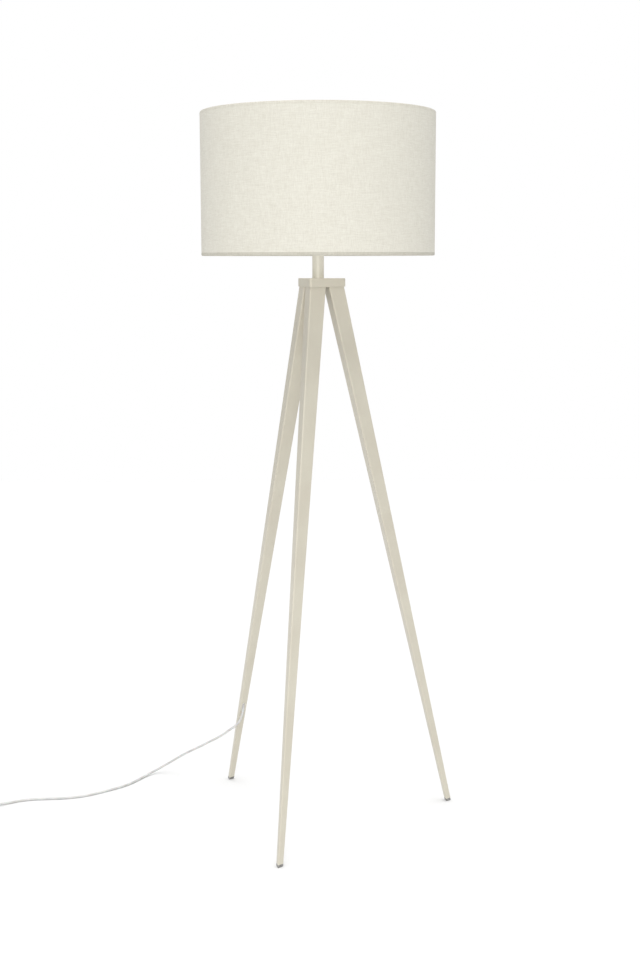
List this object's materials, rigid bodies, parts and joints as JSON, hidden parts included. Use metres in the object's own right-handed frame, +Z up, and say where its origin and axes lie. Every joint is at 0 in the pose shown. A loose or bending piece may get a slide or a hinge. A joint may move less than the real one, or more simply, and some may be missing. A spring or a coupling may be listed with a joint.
{
  "type": "floor lamp",
  "caption": "Floor lamp with folded steel tripod legs, a triangular hub, a fabric drum shade, and a mains lead with foot switch and plug.",
  "frame": {"origin": "on the floor, under the axis of the stem and shade", "axes": "+Z up along the stem; the mains lead runs away towards -X; -Y is the side that the front leg points to"},
  "size_m": [1.1893, 0.5715, 1.555],
  "materials": {
    "powder_coat": "satin powder coat, warm light greige",
    "stem_paint": "satin lacquer, light warm grey",
    "steel": "zinc plated",
    "black_screw": "screws painted to match the hub",
    "foot_plastic": "grey moulded plastic",
    "holder_plastic": "white thermoplastic",
    "ceramic_insulator": "unglazed",
    "brass": "plain",
    "nickel": "nickel plated",
    "bulb_plastic": "white",
    "opal": "opal diffuser",
    "shade_linen": "cream linen weave",
    "shade_lining": "white laminate sheet",
    "white_wire": "white powder coated wire",
    "lead_pvc": "pale grey PVC",
    "core_brown": "brown insulation",
    "core_blue": "blue insulation",
    "fitting_plastic": "white moulded plastic",
    "tie_fabric": "white hook and loop strap"
  },
  "bodies": {
    "lamp": {"leg_front": "powder_coat", "leg_right": "powder_coat", "leg_rear": "powder_coat", "leg_inserts": "steel", "foot_pad_front": "foot_plastic", "foot_pad_right": "foot_plastic", "foot_pad_rear": "foot_plastic", "hub_cover": "powder_coat", "hub_plate": "steel", "leg_screws": "black_screw", "stem_tube": "stem_paint", "stem_cap": "stem_paint", "threaded_tube": "steel", "hub_washer": "steel", "hub_nut": "steel", "holder_cap": "holder_plastic", "holder_body": "holder_plastic", "holder_insulator": "ceramic_insulator", "holder_terminals": "brass", "screw_shell": "nickel", "centre_contact": "brass", "bulb_tip": "brass", "bulb_cap": "nickel", "bulb_housing": "bulb_plastic", "bulb_globe": "opal", "shade_fabric": "shade_linen", "shade_liner": "shade_lining", "hem_top": "shade_linen", "hem_bottom": "shade_linen", "wire_ring_top": "white_wire", "wire_ring_bottom": "white_wire", "fitter_ring": "white_wire", "spider_arms": "white_wire", "shade_ring": "holder_plastic", "lead_inside": "lead_pvc", "core_live": "core_brown", "core_neutral": "core_blue", "lead_grommet": "fitting_plastic", "lead_to_switch": "lead_pvc", "lead_to_coil": "lead_pvc", "lead_to_plug": "lead_pvc", "lead_coil": "lead_pvc", "coil_tie": "tie_fabric", "switch_base": "fitting_plastic", "switch_cover": "fitting_plastic", "switch_reliefs": "fitting_plastic", "contact_block": "holder_plastic", "switch_spring": "steel", "switch_screws": "steel", "plug_body": "fitting_plastic", "plug_pins": "nickel"},
    "button": {"switch_button": "fitting_plastic"}
  },
  "joints": [
    {"name": "button_press", "type": "slide", "parent": "lamp", "child": "button", "axis": [0, 0, -1], "range_m": [0, 0.003], "stiffness_N_per_m": 900, "springref_m": -0.002, "deforming": ["switch_spring"]}
  ]
}
